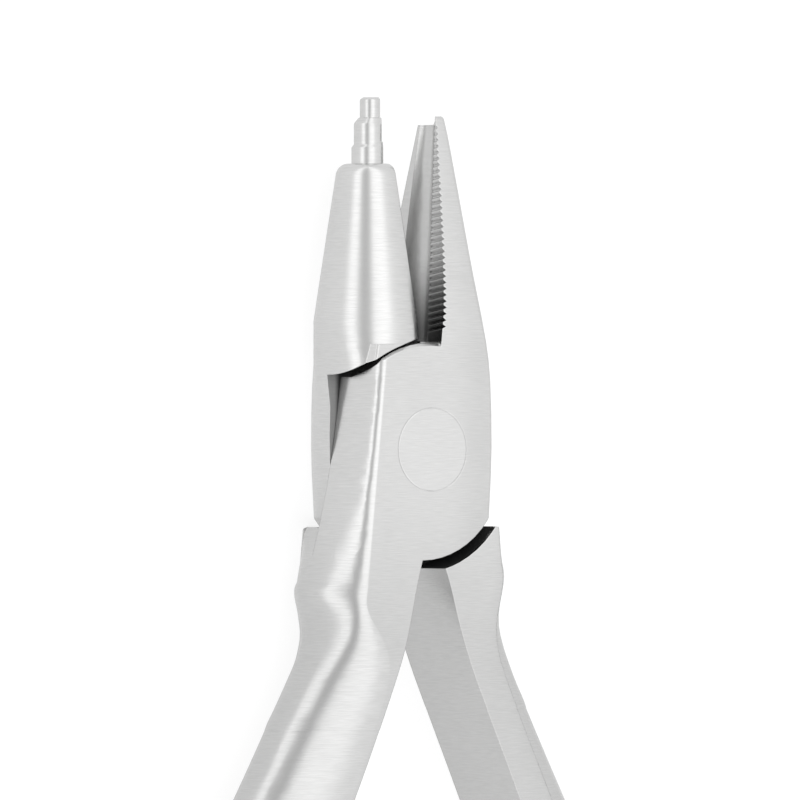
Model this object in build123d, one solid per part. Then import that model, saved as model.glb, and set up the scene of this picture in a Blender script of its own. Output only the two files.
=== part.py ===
from build123d import *
from math import cos, exp, sin, radians, sqrt
import os

os.makedirs("parts", exist_ok=True)

# Joint
thickness = 7.8
mid = thickness / 2
lap_gap = 0.04
tool_reach = 40.0

# Shoulder: the ridge runs straight down the front, the side below it swells and then falls to the handle
ridge_head = (-4.36, 6.82)
ridge_slope = 0.101
ridge_radius = 0.45
ridge_turn = 0.29
block_top = 9.2
side_bulge = 1.0
side_level = -0.6
block_right = 3.0
edge_bevel = 0.2

# Lap edges and the pockets they turn in
upper_lap_edge = [(-4.3, 6.48), (-1.6, 7.5), (0.95, 7.53)]
upper_lap_corner = (-5.25, 5.2)
lower_lap_centre = (-0.86, -0.82)
lower_lap_radius = 7.1
lap_foot = -4.9
jaw_pocket_centre = (1.36, -4.24)
jaw_pocket_radius = 12.35
handle_pocket_radius = 7.95
serrated_rim = [(-5.35, -5.5), (-5.8, -5.65), (-6.9, -6.7), (-12.0, -12.0)]
stepped_rim = [(5.35, -5.5), (12.0, -6.3)]
lap_top_bevel = 0.22

# Arch where the flat face ends and the handle's round begins
arch_length = 3.2
arch_power = 1.7
arch_half = 3.84
crest_strip = 0.4
crown_angles = (90, 68, 50, 36, 24, 12, 0)
crown_knots = (0.0, 0.07, 0.14, 0.23, 0.32, 0.41, 0.5)
side_parts = (0.25, 0.5, 0.75, 1.0)

# Down the arch at even steps: (along the tool, outer edge of the handle, inner wall, bulge of the shoulder)
serrated_arch = [
    (-9.5, 7.09, 1.17, 2.35),
    (-11.0, 7.38, 1.60, 2.25),
    (-12.5, 7.82, 1.92, 1.55),
    (-14.0, 8.39, 2.28, 1.05),
    (-15.5, 9.04, 2.78, 0.95),
    (-17.0, 9.77, 3.35, 0.95),
    (-18.5, 10.56, 3.96, 0.95),
    (-20.0, 11.38, 4.58, 0.95),
]
stepped_arch = [
    (-8.1, 6.13, 1.05, 2.05),
    (-9.6, 6.55, 1.55, 2.00),
    (-11.1, 7.05, 1.98, 1.45),
    (-12.6, 7.62, 2.42, 0.95),
    (-14.1, 8.24, 2.93, 0.80),
    (-15.6, 8.91, 3.50, 0.75),
    (-17.1, 9.62, 4.14, 0.75),
    (-18.6, 10.35, 4.81, 0.75),
]

# Handles below the arch at even steps: (outer edge, inner wall, half height)
handle_foot = -101.0
serrated_handle = [
    (11.35, 4.58, 3.81),
    (18.63, 10.60, 3.80),
    (23.33, 15.71, 3.72),
    (25.72, 18.63, 3.62),
    (26.80, 19.85, 3.50),
    (26.69, 19.93, 3.36),
    (25.80, 19.40, 3.20),
]
stepped_handle = [
    (10.32, 4.81, 3.81),
    (17.41, 10.83, 3.80),
    (22.87, 15.67, 3.72),
    (25.78, 18.57, 3.62),
    (26.74, 19.82, 3.50),
    (26.69, 19.95, 3.36),
    (25.80, 19.40, 3.20),
]
end_parts = (0.0, 0.35, 0.65, 0.86, 0.97)
handle_end = 4.0
trim_overlap = 0.6
handle_bottom = -110.0

# Pivot rivet
shank_radius = 2.2
head_radius = 2.95
head_height = 1.2
running_clearance = 0.03
head_clearance = 0.04

# Serrated beak: (along the tool, outer edge, bulge of the back, half height)
beak_stations = [
    (-8.1, 4.55, 1.10, 4.00),
    (-5.2, 4.86, 1.12, 4.00),
    (-2.3, 5.03, 1.12, 4.00),
    (0.6, 5.12, 1.12, 4.00),
    (3.5, 5.07, 1.10, 4.00),
    (6.4, 4.86, 1.07, 4.00),
    (9.3, 4.36, 0.95, 3.92),
    (12.2, 3.92, 0.85, 3.54),
    (15.0, 3.68, 0.70, 2.98),
    (17.9, 3.50, 0.55, 2.33),
    (20.7, 3.32, 0.40, 1.69),
    (24.0, 3.00, 0.25, 0.97),
]
rim_foot = (0.8, 7.85)
rim_head = (2.2, 22.85)
beak_tip_radius = 0.5
# Tip seen from the side: (along the tool, height); the front rim stands proud of the rear one
beak_tip_line = [(23.3, 0.0), (23.3, 4.1), (23.88, 4.68), (23.88, 7.8)]
groove_foot = (3.1, 0.85)
groove_head = (1.3, 0.46)
groove_parts = (-0.2, 1.2)
tooth_pitch = 0.46
tooth_depth_foot = 0.34
tooth_depth_head = 0.2
tooth_slant = 8.0
tooth_count = 33
tooth_start = 0.9
tooth_spread = 0.8

# Stepped beak
cone_axis = -2.95
cone_reference = (12.15, 3.42)
cone_slope = 0.152
cone_top = 20.45
cone_corner = 0.9
# (along the tool, half width, half height, squareness) where the cone runs into the lap
cone_foot_stations = [
    (9.05, 3.876, 3.876, 2.0),
    (5.90, 3.560, 3.860, 2.4),
    (2.75, 3.200, 3.820, 2.9),
    (-0.4, 2.800, 3.770, 3.2),
]
ring_points = 24
grip_line = -1.82
grip_lean = 0.09
step_diameters = (2.29, 2.02, 1.47)
step_heights = (1.57, 1.71, 1.46)
step_bevel = (0.36, 0.42)
tip_bevel = 0.16
pin_root = 0.5
closed_angle = 10.8
flat_gap = 0.1


def flat_point(radius, angle, centre=(0.0, 0.0)):
    return (centre[0] + radius * cos(radians(angle)), centre[1] + radius * sin(radians(angle)))


def turned(point, angle):
    c = cos(radians(angle))
    s = sin(radians(angle))
    return (point[0] * c - point[1] * s, point[0] * s + point[1] * c)


def prism(outline, low=-1.0, high=thickness + 1.0):
    return Pos(0, 0, low) * extrude(make_face(outline), high - low)


def swell(bulge, drop):
    return bulge * (1 - ((mid - drop) / mid) ** 2)


def low_side(point):
    return (point[0], point[1], thickness - point[2])


def bowed(value, squareness):
    size = abs(value) ** (2 / squareness)
    return size if value > 0 else -size


def shoulder_crown(y, bulge):
    left = ridge_head[0] - ridge_slope * (ridge_head[1] - y)
    crest = (left + ridge_radius, thickness)
    flank = (left - swell(bulge, ridge_radius), thickness - ridge_radius)
    knee = (left + ridge_turn * (crest[0] + flank[0] - 2 * left), thickness - ridge_turn * ridge_radius)
    drops = [ridge_radius + part * (mid - ridge_radius) for part in side_parts]
    return [crest, knee, flank] + [(left - swell(bulge, drop), thickness - drop) for drop in drops]


def handle_crown(outer, inner, half):
    crest = inner + crest_strip
    turns = [radians(angle) for angle in crown_angles]
    return [(-crest - (outer - crest) * cos(turn), mid + half * sin(turn)) for turn in turns]


def body_section(y, crown, right):
    upper = [(x, y, z) for x, z in crown]
    ring = upper + [low_side(point) for point in reversed(upper[:-1])]
    knots = list(crown_knots) + [1 - knot for knot in reversed(crown_knots[:-1])]
    high = (right, y, ring[0][2])
    lines = [Line(low_side(high), high), Line(high, ring[0])]
    lines += [Edge.make_spline(ring, tangents=[(-1, 0, 0), (1, 0, 0)], parameters=knots)]
    lines += [Line(ring[-1], low_side(high))]
    return Wire(lines)


def arch_section(arch, row):
    y, outer, inner, bulge = row
    drop = max(arch[1][0] - y, 0)
    share = 1 - exp(-((drop / arch_length) ** arch_power))
    pairs = zip(shoulder_crown(y, bulge), handle_crown(outer, inner, arch_half))
    crown = [(a[0] + share * (b[0] - a[0]), a[1] + share * (b[1] - a[1])) for a, b in pairs]
    return body_section(y, crown, block_right)


def joint_block(arch):
    rows = [(block_top, side_bulge), (side_level, side_bulge), (arch[0][0], arch[0][3])]
    upper = Solid.make_loft([body_section(y, shoulder_crown(y, bulge), block_right) for y, bulge in rows])
    return upper, Solid.make_loft([arch_section(arch, row) for row in arch])


def above_lap():
    sides = [upper_lap_edge[-1], (tool_reach, upper_lap_edge[-1][1]), (tool_reach, tool_reach)]
    sides += [(-tool_reach, tool_reach), (-tool_reach, upper_lap_corner[1])]
    sides += [upper_lap_corner, upper_lap_edge[0]]
    outline = [ThreePointArc(*upper_lap_edge), Polyline(*sides)]
    lean = extrude(make_face(outline), 2 * lap_top_bevel, dir=(0, -1, 1))
    return [prism(outline), Pos(0, 0, thickness - lap_top_bevel) * lean]


def handle_levels(arch, handle):
    top = arch[-1][0]
    return [top + (handle_foot - top) * step / (len(handle) - 1) for step in range(len(handle))]


def wall_line(arch, handle):
    meet = flat_point(lower_lap_radius, -90, lower_lap_centre)
    upper = [(-row[2], row[0]) for row in arch[1:]]
    lower = [(-row[1], y) for row, y in zip(handle, handle_levels(arch, handle))]
    return [meet] + upper + lower[1:]


def inner_void(line):
    drop = lap_foot - lower_lap_centre[1]
    start = (lower_lap_centre[0] + sqrt(lower_lap_radius**2 - drop**2), lap_foot)
    dip = flat_point(lower_lap_radius, -60, lower_lap_centre)
    foot = line[-1]
    sides = [foot, (foot[0], handle_bottom), (tool_reach, handle_bottom), (tool_reach, lap_foot), start]
    return prism([ThreePointArc(start, dip, line[0]), Spline(*line), Polyline(*sides)])


def handle_bar(arch, handle):
    sections = []
    for y, (outer, inner, half) in zip(handle_levels(arch, handle), handle):
        sections.append(body_section(y, handle_crown(outer, inner, half), trim_overlap - inner))
    caps = []
    outer, inner, half = handle[-1]
    for part in end_parts:
        grow = sqrt(1 - part**2)
        middle = (outer + inner) / 2
        reach = grow * (outer - inner) / 2
        crown = handle_crown(middle + reach, middle - reach, grow * half)
        caps.append(body_section(handle_foot - part * handle_end, crown, trim_overlap - middle + reach))
    return Solid.make_loft(sections) + Solid.make_loft(caps)


def joint_and_handle(arch, handle, beak):
    upper, lower = joint_block(arch)
    return upper - above_lap() + lower + handle_bar(arch, handle) + beak - inner_void(wall_line(arch, handle))


def lap_pocket(side, rim, low, high):
    jaw_side = Pos(-side * jaw_pocket_centre[0], jaw_pocket_centre[1]) * Circle(jaw_pocket_radius)
    jaw_side = jaw_side & Pos(0, tool_reach / 2) * Rectangle(tool_reach, tool_reach)
    handle_side = Pos(-side * lower_lap_centre[0], lower_lap_centre[1]) * Circle(handle_pocket_radius)
    handle_side = handle_side & Pos(0, -tool_reach / 2) * Rectangle(tool_reach, tool_reach)
    rim_side = make_face(Polyline(*rim, (rim[-1][0], 0.0), (rim[0][0], 0.0), close=True))
    outline = jaw_side + handle_side + rim_side
    return Pos(0, 0, low) * extrude(outline, high - low)


def rim_at(y):
    part = (y - rim_foot[1]) / (rim_head[1] - rim_foot[1])
    return rim_foot[0] + part * (rim_head[0] - rim_foot[0])


def beak_section(y, outer, bulge, half):
    inner = rim_at(y)
    a = (inner, y, mid + half)
    b = (outer, y, mid + half)
    c = (outer, y, mid - half)
    d = (inner, y, mid - half)
    return Wire([Line(a, b), ThreePointArc(b, (outer + bulge, y, mid), c), Line(c, d), Line(d, a)])


def groove():
    run = Vector(rim_head[0] - rim_foot[0], rim_head[1] - rim_foot[1], 0)
    away = Vector(-run.Y, run.X, 0).normalized()
    rings = []
    for part in groove_parts:
        radius = groove_foot[0] + part * (groove_head[0] - groove_foot[0])
        depth = groove_foot[1] + part * (groove_head[1] - groove_foot[1])
        centre = Vector(rim_foot[0], rim_foot[1], mid) + run * part + away * (radius - depth)
        rings.append(Plane(centre, x_dir=(0, 0, 1), z_dir=run) * Wire.make_circle(radius))
    return Solid.make_loft(rings, True)


def serrations():
    run = Vector(rim_head[0] - rim_foot[0], rim_head[1] - rim_foot[1], 0)
    along = run.normalized()
    into = Vector(along.Y, -along.X, 0)
    slope = Vector(0, sin(radians(tooth_slant)), cos(radians(tooth_slant)))
    cuts = []
    for index in range(tooth_count):
        part = (index + tooth_start) * tooth_pitch / run.length
        depth = tooth_depth_foot + part * (tooth_depth_head - tooth_depth_foot)
        rim = Vector(rim_foot[0], rim_foot[1], mid) + run * part
        out = rim - into * depth
        spread = along * tooth_pitch * tooth_spread
        corners = [rim + into * depth, out + spread, out - spread]
        face = make_face(Polyline(*corners, close=True))
        cuts.append(extrude(face, thickness, dir=slope))
    return cuts


def serrated_beak():
    beak = Solid.make_loft([beak_section(*s) for s in beak_stations])
    long_edges = beak.edges().sort_by(SortBy.LENGTH)[-4:]
    beak = chamfer(ShapeList(long_edges).sort_by(Axis.X)[-2:], edge_bevel)
    tip = beak.faces().sort_by(Axis.Y)[-1]
    ends = [e for e in tip.edges() if e.center().X > rim_at(tip.center().Y) + edge_bevel / 2]
    beak = fillet(ends, beak_tip_radius) - groove()
    above = Polyline(*beak_tip_line, (tool_reach, thickness), (tool_reach, 0), close=True)
    cap = extrude(make_face(Plane.YZ * above), tool_reach, both=True)
    return (beak - cap) & Pos(0, 0, mid) * Box(tool_reach, 2 * tool_reach, thickness)


def round_section(y, width, height, squareness=2.0):
    ring = []
    for step in range(ring_points):
        angle = radians(360 * step / ring_points)
        across = width * bowed(cos(angle), squareness)
        ring.append((cone_axis + across, y, mid + height * bowed(sin(angle), squareness)))
    return Wire([Spline(*ring, periodic=True)])


def cone_radius(y):
    return cone_reference[1] + cone_slope * (cone_reference[0] - y)


def step_ring(y, radius, grip):
    return Plane((grip - radius, y, mid), x_dir=(1, 0, 0), z_dir=(0, 1, 0)) * Wire.make_circle(radius)


def forming_steps():
    pin = None
    foot = cone_top - pin_root
    level = cone_top
    for diameter, height in zip(step_diameters, step_heights):
        radius = diameter / 2
        grip = grip_line - grip_lean * step_diameters.index(diameter)
        level += height
        last = height == step_heights[-1]
        side, rise = (tip_bevel, tip_bevel) if last else step_bevel
        body = Solid.make_loft([step_ring(foot, radius, grip), step_ring(level - rise, radius, grip)], True)
        top_ring = step_ring(level, radius - side / 2, grip)
        if last:
            top_ring = Pos(-side / 2, 0, 0) * step_ring(level, radius - side, grip)
        body += Solid.make_loft([step_ring(level - rise, radius, grip), top_ring], True)
        pin = body if pin is None else pin + body
        foot = level - rise
    return pin


def turned_cone(base):
    top_radius = cone_radius(cone_top)
    half = Polyline((0, base), (cone_radius(base), base), (top_radius, cone_top), (0, cone_top), close=True)
    profile = make_face(half)
    profile = fillet(profile.vertices().sort_by_distance((top_radius, cone_top, 0))[0], cone_corner)
    return Pos(cone_axis, 0, mid) * revolve(profile, Axis.Y)


def stepped_beak():
    foot = Solid.make_loft([round_section(*station) for station in reversed(cone_foot_stations)])
    cone = turned_cone(cone_foot_stations[0][0]) + foot
    low = turned(rim_foot, closed_angle)
    high = turned(rim_head, closed_angle)
    lean = (high[0] - low[0]) / (high[1] - low[1])
    ends = (cone_foot_stations[1][0], tool_reach)
    flat = [(low[0] - flat_gap + lean * (y - low[1]), y) for y in ends]
    flat += [(tool_reach, y) for y in reversed(ends)]
    cone -= prism([Polyline(*flat, close=True)])
    return cone + forming_steps()


def rivet_hole(clearance, head_gap):
    shank = Pos(0, 0, mid) * Cylinder(shank_radius + clearance, 2 * thickness)
    seat = (Align.CENTER, Align.CENTER, Align.MIN)
    head = Cylinder(head_radius + head_gap, head_height + head_gap, align=seat)
    return shank, head


half_turn = Axis((0, 0, mid), (0, 1, 0))

# Half with the serrated beak on the right and the handle on the left
serrated_half = joint_and_handle(serrated_arch, serrated_handle, serrated_beak())
serrated_half -= lap_pocket(1, serrated_rim, -tool_reach, mid + lap_gap / 2)
serrated_half -= serrations()
shank_hole, head_hole = rivet_hole(running_clearance, head_clearance)
serrated_half -= shank_hole
serrated_half -= Pos(0, 0, thickness - head_height - head_clearance) * head_hole

# Half with the stepped beak on the left and the handle on the right
lap_side = serrated_beak() - above_lap()
stepped_half = joint_and_handle(stepped_arch, stepped_handle, lap_side)
stepped_half = stepped_half.rotate(half_turn, 180) + stepped_beak()
stepped_half -= lap_pocket(-1, stepped_rim, mid - lap_gap / 2, tool_reach)
shank_hole, head_hole = rivet_hole(0, 0)
stepped_half -= shank_hole
stepped_half -= head_hole

# Flush rivet
pivot_rivet = Pos(0, 0, mid) * Cylinder(shank_radius, thickness)
pivot_rivet += Pos(0, 0, thickness - head_height / 2) * Cylinder(head_radius, head_height)
pivot_rivet += Pos(0, 0, head_height / 2) * Cylinder(head_radius, head_height)

pieces = {"serrated_half": serrated_half, "stepped_half": stepped_half, "pivot_rivet": pivot_rivet}
for name, piece in pieces.items():
    export_step(piece, f"parts/{name}.step")
    box = piece.bounding_box()
    print(name, len(piece.solids()), round(piece.volume, 1), box.min, box.max)
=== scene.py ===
import bpy
from math import cos, pi, radians, sin
from mathutils import Matrix, Vector

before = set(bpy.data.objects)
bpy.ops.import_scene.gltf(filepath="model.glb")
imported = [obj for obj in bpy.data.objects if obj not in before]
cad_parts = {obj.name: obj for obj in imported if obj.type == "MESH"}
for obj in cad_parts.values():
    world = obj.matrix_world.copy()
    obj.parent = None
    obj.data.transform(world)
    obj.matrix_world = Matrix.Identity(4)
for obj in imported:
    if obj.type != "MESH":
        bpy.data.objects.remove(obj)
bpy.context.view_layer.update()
scene = bpy.context.scene
mm = 0.001
print("frame loaded:", ", ".join(sorted(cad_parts)))


class Lead:  # a shader socket that can stand in a Python sum
    def __init__(self, bench, socket):
        self.bench = bench
        self.socket = socket

    def maths(self, operation, *others):
        values = dict(enumerate((self,) + others))
        return self.bench.add("ShaderNodeMath", {"operation": operation}, values)

    def __add__(self, other):
        return self.maths("ADD", other)

    def __sub__(self, other):
        return self.maths("SUBTRACT", other)

    def __mul__(self, other):
        return self.maths("MULTIPLY", other)

    def __truediv__(self, other):
        return self.maths("DIVIDE", other)

    def __pow__(self, other):
        return self.maths("POWER", other)

    def __gt__(self, other):
        return self.maths("GREATER_THAN", other)

    def __lt__(self, other):
        return self.maths("LESS_THAN", other)

    def __abs__(self):
        return self.maths("ABSOLUTE")

    def __rsub__(self, other):
        return self.bench.add("ShaderNodeMath", {"operation": "SUBTRACT"}, {0: other, 1: self})

    __radd__ = __add__
    __rmul__ = __mul__


class Bench:  # one node tree and the way nodes are added to it
    def __init__(self, tree):
        self.tree = tree
        tree.nodes.clear()

    def add(self, kind, settings=None, sockets=None, out=0):
        node = self.tree.nodes.new(kind)
        for name, value in (settings or {}).items():
            if name == "stops":
                self.setStops(node.color_ramp, value)
            else:
                setattr(node, name, value)
        for key, value in (sockets or {}).items():
            if isinstance(value, Lead):
                self.tree.links.new(value.socket, node.inputs[key])
            else:
                node.inputs[key].default_value = value
        return Lead(self, node.outputs[out]) if node.outputs else node

    def setStops(self, ramp, stops):
        while len(ramp.elements) > 1:
            ramp.elements.remove(ramp.elements[-1])
        ramp.elements[0].position = stops[0][0]
        ramp.elements[0].color = grey(stops[0][1])
        for place, level in stops[1:]:
            ramp.elements.new(place).color = grey(level)

    def mixColour(self, share, first, second):
        sockets = {0: share, 6: first, 7: second}
        return self.add("ShaderNodeMix", {"data_type": "RGBA"}, sockets, 2)

    def ramp(self, value, low, high):  # 0 below low, 1 above high, smooth between
        settings = {"interpolation_type": "SMOOTHSTEP"}
        return self.add("ShaderNodeMapRange", settings, {"Value": value, "From Min": low, "From Max": high})

    def places(self):  # the piece's own x, y and z in millimetres
        spot = self.add("ShaderNodeTexCoord", out="Object")
        return [self.add("ShaderNodeSeparateXYZ", None, {0: spot}, axis) * 1000 for axis in "XYZ"]

    def noise(self, x, y, z, detail=2.0):
        spot = self.add("ShaderNodeCombineXYZ", None, {0: x, 1: y, 2: z})
        return self.add("ShaderNodeTexNoise", None, {"Vector": spot, "Scale": 1.0, "Detail": detail})


def grey(level):
    return (level, level, level, 1)


satinSteel = {
    "colour": 0.70,
    "blueShare": 0.995,     # a trace warmer than plain grey
    "roughness": 0.24,
    "roughSwing": 0.12,
    "brushAlong": 0.9,      # marks per mm along a brush line
    "brushAcross": 13.0,    # marks per mm across it
    "brushDetail": 4.0,
    "brushDepth": 0.20,
    "brushBump": 0.35,
    "bumpDepth": 0.01,      # mm
    "cloudSize": 0.35,      # soft blotches per mm
    "cloudDepth": 0.06,
    "edgeRound": 0.10,      # mm
    "edgeSamples": 8,
    "handleShade": 0.13,     # painted shade: the handles are coloured a little darker than the joint's ground faces
    "handleShadeFrom": (1.0, 15.0),
    "rivetBright": 1.04,
    "sideShade": 0.09,       # painted shade: the serrated half's right side is coloured a little darker too
    "sideShadeFrom": (1.2, 4.6),
}

# painted shade in the groove: its left-facing faces are coloured darker, most at the foot
grooveShade = {
    "from": 7.7,            # mm along the tool, where the groove starts
    "facing": -0.2,         # faces turned left by more than this are in the groove
    "foot": (8.0, 14.5),    # mm, painted shade darkest at the groove's foot, lightest above
    "dark": 0.84,
    "least": 0.05,
}

# painted glint round the rivet: an emission on the seam's walls, not a lamp
rivetSeamGlow = {
    "radius": 3.0,          # mm
    "band": 0.1,
    "upright": 0.5,         # only the walls of the seam, not the ground face
    "glint": 0.2,           # painted glint: the seam's walls glow faintly so the seam reads light
}

# painted shade: the joint's lap faces and arc walls are coloured nearly black, standing in for the dark gaps
# between the halves
jointShade = {
    "colour": 0.012,
    "rougher": 0.4,
    "lapLevel": 3.9,        # mm, where the two laps meet
    "lapBand": 0.07,
    "level": 0.9,           # a face counts as level above this
    "handleArc": (0.86, -0.82, 7.95),   # mm, centre across, centre along, radius
    "jawArc": (-1.36, -4.24, 12.35),
    "square": 0.98,         # a face counts as the arc's wall above this
    "wallBand": 0.06,
    "faceKeep": 0.35,       # mm of wall left bright under a face
    "thickness": 7.8,
    "floorFrom": -5.6,      # mm, the pocket floor's painted shade is only grey left of this
    "floorBlend": 0.25,
    "floorGrey": 0.6,
}


def pocketShadeMask(bench, place, face, side):
    x, y, z = place
    faceX, faceY, faceZ = face
    inside = (z < jointShade["thickness"] - jointShade["faceKeep"]) * (z > jointShade["faceKeep"])
    mask = (abs(z - jointShade["lapLevel"]) < jointShade["lapBand"]) * (abs(faceZ) > jointShade["level"])
    start, blend = jointShade["floorFrom"], jointShade["floorBlend"]
    floor = bench.ramp(x, start - blend, start + blend)
    mask = mask * (jointShade["floorGrey"] + (1 - jointShade["floorGrey"]) * floor)
    for centreX, centreY, radius in (jointShade["handleArc"], jointShade["jawArc"]):
        awayX = x - side * centreX
        awayY = y - centreY
        reach = (awayX * awayX + awayY * awayY) ** 0.5
        towards = abs(faceX * awayX + faceY * awayY) / reach
        wall = (abs(reach - radius) < jointShade["wallBand"]) * inside
        mask = mask + wall * (towards > jointShade["square"])
    return mask.maths("MINIMUM", 1.0)


def steel(name, side):  # side is 1 for the serrated half, -1 for the stepped half, 0 for the rivet
    material = bpy.data.materials.new(name)
    material.use_nodes = True
    bench = Bench(material.node_tree)
    place = x, y, z = bench.places()
    facing = bench.add("ShaderNodeTexCoord", None, None, "Normal")
    face = [bench.add("ShaderNodeSeparateXYZ", None, {0: facing}, axis) for axis in "XYZ"]
    look = satinSteel
    along = look["brushAlong"]
    blotch = look["cloudSize"]
    brush = bench.noise(x * along, y * look["brushAcross"], z * along, look["brushDetail"])
    cloud = bench.noise(x * blotch, y * blotch, z * blotch)
    tone = 1 - look["brushDepth"] * (brush - 0.5) - look["cloudDepth"] * (cloud - 0.5)
    # painted shade: darker towards the handles
    tone = tone * (1 - look["handleShade"] * bench.ramp(0 - y, *look["handleShadeFrom"]))
    if side == 0:
        tone = tone * look["rivetBright"]
    if side == 1:
        # painted shade on the serrated half's right side
        tone = tone * (1 - look["sideShade"] * bench.ramp(x, *look["sideShadeFrom"]))
        # painted shade in the groove, darkest at its foot
        groove = (face[0] < grooveShade["facing"]) * (y > grooveShade["from"])
        fade = grooveShade["dark"] - grooveShade["least"]
        depth = grooveShade["dark"] - fade * bench.ramp(y, *grooveShade["foot"])
        tone = tone * (1 - groove * depth)
    value = tone * look["colour"]
    shares = {0: value, 1: value, 2: value * look["blueShare"]}
    colour = bench.add("ShaderNodeCombineColor", None, shares)
    roughness = look["roughness"] + look["roughSwing"] * (brush - 0.5)
    samples = {"samples": look["edgeSamples"]}
    rounded = bench.add("ShaderNodeBevel", samples, {"Radius": look["edgeRound"] * mm})
    marks = {"Strength": look["brushBump"], "Distance": look["bumpDepth"] * mm}
    bump = bench.add("ShaderNodeBump", None, {**marks, "Height": brush, "Normal": rounded})
    sockets = {"Roughness": roughness, "Metallic": 1.0, "Normal": bump}
    if side:
        # painted shade in the joint's pockets: nearly black, rougher and not metallic
        dark = pocketShadeMask(bench, place, face, side)
        colour = bench.mixColour(dark, colour, grey(jointShade["colour"]))
        sockets["Roughness"] = roughness + dark * jointShade["rougher"]
        sockets["Metallic"] = 1 - dark
    # painted glint: the rivet seam's walls glow
    if side >= 0:
        off = abs((x * x + y * y) ** 0.5 - rivetSeamGlow["radius"])
        seam = (off < rivetSeamGlow["band"]) * (abs(face[2]) < rivetSeamGlow["upright"])
        glint = seam * rivetSeamGlow["glint"]
        sockets["Emission Color"] = bench.add("ShaderNodeCombineColor", None, {0: glint, 1: glint, 2: glint})
        sockets["Emission Strength"] = 1.0
    sockets["Base Color"] = colour
    shader = bench.add("ShaderNodeBsdfPrincipled", None, sockets)
    bench.add("ShaderNodeOutputMaterial", None, {"Surface": shader})
    return material


def dress(node, material):
    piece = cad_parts[node]
    if piece.material_slots:
        for slot in piece.material_slots:
            slot.material = material
    else:
        piece.data.materials.append(material)


dress("serrated_half", steel("satin steel, serrated half", 1))
dress("stepped_half", steel("satin steel, stepped half", -1))
dress("pivot_rivet", steel("satin steel, rivet", 0))
print("steel finishes set")

table = {
    "size": 3.0,            # m
    "drop": 0.05,           # mm under the tool
    "glow": 0.85,
    "mirrored": 0.80,       # share of the glow seen in the steel
    "colour": 0.22,
}


def layTable():
    mesh = bpy.data.meshes.new("table_top")
    half = table["size"] / 2
    level = -table["drop"] * mm
    corners = [(-half, -half, level), (half, -half, level), (half, half, level), (-half, half, level)]
    mesh.from_pydata(corners, [], [(0, 1, 2, 3)])
    top = bpy.data.objects.new("table_top", mesh)
    scene.collection.objects.link(top)
    material = bpy.data.materials.new("white table")
    material.use_nodes = True
    bench = Bench(material.node_tree)
    seen = bench.add("ShaderNodeLightPath", None, None, "Is Camera Ray")
    seen = seen + table["mirrored"] * bench.add("ShaderNodeLightPath", None, None, "Is Glossy Ray")
    seen = seen + bench.add("ShaderNodeLightPath", None, None, "Is Transmission Ray")
    paper = bench.add("ShaderNodeBsdfDiffuse", None, {"Color": grey(table["colour"])})
    glow = bench.add("ShaderNodeEmission", None, {"Color": grey(1.0), "Strength": table["glow"]})
    both = bench.add("ShaderNodeAddShader", None, {0: paper, 1: glow})
    shown = bench.add("ShaderNodeMixShader", None, {0: seen.maths("MINIMUM", 1.0), 1: paper, 2: both})
    bench.add("ShaderNodeOutputMaterial", None, {"Surface": shown})
    mesh.materials.append(material)


layTable()
print("table laid")

# soft boxes round the tool, as a level for each direction across it, in degrees from straight up
softBoxes = {
    "strength": 1.42,
    "levels": [(-180, 0.55), (-92, 0.62), (-77, 1.0), (-63, 1.0), (-52, 0.5), (-40, 0.42), (-30, 0.5),
               (-18, 0.95), (0, 1.0), (12, 1.0), (25, 0.76), (40, 0.695), (65, 0.66), (95, 0.62),
               (180, 0.55)],
}


def lightStudio():
    world = bpy.data.worlds.new("studio")
    scene.world = world
    world.use_nodes = True
    bench = Bench(world.node_tree)
    way = bench.add("ShaderNodeTexCoord", None, None, "Generated")
    wayX, wayZ = [bench.add("ShaderNodeSeparateXYZ", None, {0: way}, axis) for axis in "XZ"]
    turn = wayX.maths("ARCTAN2", wayZ) / (2 * pi) + 0.5
    stops = [(angle / 360 + 0.5, level) for angle, level in softBoxes["levels"]]
    glow = bench.add("ShaderNodeValToRGB", {"stops": stops}, {0: turn})
    back = bench.add("ShaderNodeBackground", None, {"Color": glow, "Strength": softBoxes["strength"]})
    bench.add("ShaderNodeOutputWorld", None, {"Surface": back})


lightStudio()
print("studio light set")

shot = {
    "angle": 35.0,          # degrees round the tool's long axis
    "distance": 0.9,        # m
    "pixelsPerMm": 14.0,
    "picture": 800,         # pixels each way
    "pivotPixel": (432.6, 449.5),
    "pivotHeight": 7.8,     # mm
    "sensor": 36,
    "nearest": 0.01,        # m
}


def placeCamera():
    turn = radians(shot["angle"])
    away = Vector((-sin(turn), 0, cos(turn)))
    right = Vector((cos(turn), 0, sin(turn)))
    up = Vector((0, 1, 0))
    middle = shot["picture"] / 2
    pivotX, pivotY = shot["pivotPixel"]
    aim = Vector((0, 0, shot["pivotHeight"] * mm))
    aim += right * ((middle - pivotX) / shot["pixelsPerMm"] * mm)
    aim += up * ((pivotY - middle) / shot["pixelsPerMm"] * mm)
    data = bpy.data.cameras.new("camera")
    data.sensor_width = shot["sensor"]
    data.lens = data.sensor_width * shot["distance"] * shot["pixelsPerMm"] / (shot["picture"] * mm)
    data.clip_start = shot["nearest"]
    camera = bpy.data.objects.new("camera", data)
    scene.collection.objects.link(camera)
    camera.location = aim + away * shot["distance"]
    camera.rotation_mode = "QUATERNION"
    camera.rotation_quaternion = Matrix((right, up, away)).transposed().to_quaternion()
    scene.camera = camera


placeCamera()
scene.view_settings.view_transform = "Standard"
print("camera placed")
